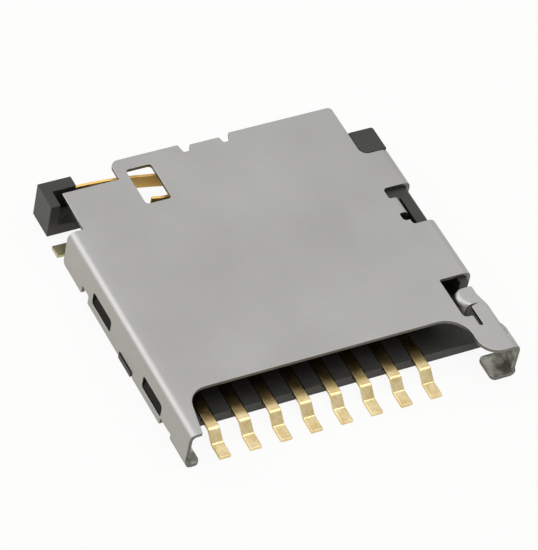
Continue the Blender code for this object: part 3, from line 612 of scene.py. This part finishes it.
def make_gold(name, dark, light, rough, cloud, shaded_from=None):
    """Gold plate between two tones, with painted shade from one place along Y if that is given.
    """
    finish, tree, shader = new_finish(name, metallic=1.0)
    fine = place_group(tree, speckle_group, Size=0.08 * MM, Depth=1.0)
    clouds = place_group(tree, cloud_group, Size=cloud, Depth=1.7)
    tone = weighted_sum(tree, (fine, 0.5), (clouds, 0.5))
    colour = mix_tones(tree, tone, dark, light)
    if shaded_from is not None:
        colour = roof_shade_on_gold(tree, colour, shaded_from)
    link(tree, colour, (shader, "Base Color"))
    roughness = spread(tree, clouds, rough - GOLD_SMOOTHER, rough + GOLD_ROUGHER)
    link(tree, roughness, (shader, "Roughness"))
    relief(tree, shader, fine, distance=0.0015 * MM)
    print("finish:", finish.name)
    return finish


# The contacts' gold is darkened as painted shade under the roof, from 1.1 mm behind the front.
contact_gold = make_gold(
    "contact_gold", dark=(0.71, 0.53, 0.22), light=(0.97, 0.81, 0.50), rough=0.24,
    cloud=0.38 * MM, shaded_from=cad_low[1] + 1.10 * MM)
# The leaf's tones are lifted to a bright orange, painted light for the leaf seen through the
# window.
leaf_gold_painted_light = make_gold(
    "leaf_gold_painted_light", dark=(0.90, 0.58, 0.18), light=(0.99, 0.69, 0.25), rough=0.50,
    cloud=0.6 * MM)
# The fixed contact's darker, greener tones are painted shade, where it lies partly covered.
post_gold_painted_shade = make_gold(
    "post_gold_painted_shade", dark=(0.48, 0.43, 0.24), light=(0.60, 0.54, 0.33), rough=0.28,
    cloud=0.6 * MM)

# %% [markdown]
# ### Dressing the pieces
# A material slot's place in the list is the number that a face carries, so the cover's three
# finishes go in as outer, cut and inner, and the base's two as floor and side.

# %% Finishes on the pieces
def dress(piece, *finishes):
    """Give a piece its finishes, in the order of its slots."""
    for finish in finishes:
        piece.data.materials.append(finish)
    print(piece.name, "wears", [finish.name for finish in finishes])


dress(cover, steel, cut_steel_with_painted_shade, inner_steel)
dress(base, plastic, shaded_side_plastic)
for spring in contacts:
    dress(spring, contact_gold)
dress(leaf, leaf_gold_painted_light)
dress(post, post_gold_painted_shade)

# %% [markdown]
# ## Floor
# The socket is photographed on pure white. A plain white floor would come out grey, because
# it is never lit quite evenly. So the floor glows white to the camera and, a little warmer,
# in reflections, mixed with a plain matt floor, which keeps a faint shadow under the part.

# %% Floor
FLOOR_EDGE = 0.8
FLOOR_DROP = 0.01 * MM
MATT_FLOOR = (0.68, 0.67, 0.60, 1)
GLOW_SEEN, GLOW_REFLECTED = (1.0, 1.0, 1.0), (1.0, 0.985, 0.92)
SHARE_SEEN, SHARE_REFLECTED = 0.92, 0.66


def make_floor():
    """Matt floor that glows to the camera and in reflections, each by its share."""
    finish = bpy.data.materials.new("white_floor")
    finish.use_nodes = True
    tree = finish.node_tree
    tree.nodes.clear()
    output = tree.nodes.new("ShaderNodeOutputMaterial")
    matt = tree.nodes.new("ShaderNodeBsdfDiffuse")
    matt.inputs["Color"].default_value = MATT_FLOOR
    glow = tree.nodes.new("ShaderNodeEmission")
    glow.inputs["Strength"].default_value = 1.0
    rays = tree.nodes.new("ShaderNodeLightPath")
    glossy = (rays, "Is Glossy Ray")
    link(tree, mix_tones(tree, glossy, GLOW_SEEN, GLOW_REFLECTED), (glow, "Color"))
    to_camera = math_node(tree, "MULTIPLY", (rays, "Is Camera Ray"), SHARE_SEEN)
    to_metal = math_node(tree, "MULTIPLY", glossy, SHARE_REFLECTED)
    mix = tree.nodes.new("ShaderNodeMixShader")
    link(tree, math_node(tree, "MAXIMUM", to_camera, to_metal), (mix, 0))
    link(tree, (matt, 0), (mix, 1))
    link(tree, (glow, 0), (mix, 2))
    link(tree, (mix, 0), (output, "Surface"))
    return finish


bpy.ops.mesh.primitive_plane_add(size=FLOOR_EDGE, location=(0, 0, -FLOOR_DROP))
floor = bpy.context.object
floor.name = "studio_floor"
floor.data.materials.append(make_floor())
print("floor:", FLOOR_EDGE, "m square")

# %% [markdown]
# ## Soft boxes
# One large soft box hangs overhead. One stands behind at the left and draws the bright line
# along the bend of the cover. Area lamps are used, because a small lamp or a sun would put
# hard shadows beside so small a part. The power follows from the brightness and the size, so
# that a box can be made larger and still look as bright in the metal.

# %% Soft boxes
def soft_box(name, place, size, radiance):
    """Square area lamp aimed at the part, with a brightness where 1 is white."""
    lamp = bpy.data.lights.new(name, "AREA")
    lamp.shape = "SQUARE"
    lamp.size = size
    lamp.energy = radiance * math.pi * size * size
    holder = bpy.data.objects.new(name, lamp)
    bpy.context.collection.objects.link(holder)
    holder.location = place
    holder.rotation_euler = (-Vector(place)).to_track_quat("-Z", "Y").to_euler()
    print(name, round(lamp.energy, 4), "W")


soft_box("overhead_box", place=(0.01, -0.01, 0.12), size=0.10, radiance=1.6)
soft_box("left_box", place=(-0.074, 0.086, 0.098), size=0.115, radiance=1.28)

# %% [markdown]
# ## White room
# A white world fills the rest, as the walls of a bright room do. It is dimmer at the front
# (low Y), so that the slopes of the tails, which mirror the front, read darker than their
# flats, which mirror the back.

# %% White room
WORLD_FRONT, WORLD_BACK = 0.55, 0.95

world = bpy.data.worlds.new("white_room")
world.use_nodes = True
room = world.node_tree
direction = room.nodes.new("ShaderNodeTexCoord")
parts = room.nodes.new("ShaderNodeSeparateXYZ")
link(room, (direction, "Generated"), (parts, "Vector"))
depth = room.nodes.new("ShaderNodeMapRange")
depth.inputs["From Min"].default_value = -1.0
depth.inputs["To Min"].default_value = WORLD_FRONT
depth.inputs["To Max"].default_value = WORLD_BACK
link(room, (parts, "Y"), (depth, "Value"))
link(room, (depth, "Result"), (room.nodes["Background"], "Strength"))
room.nodes["Background"].inputs["Color"].default_value = (1, 1, 1, 1)
bpy.context.scene.world = world
print("world strength, front and back:", WORLD_FRONT, WORLD_BACK)
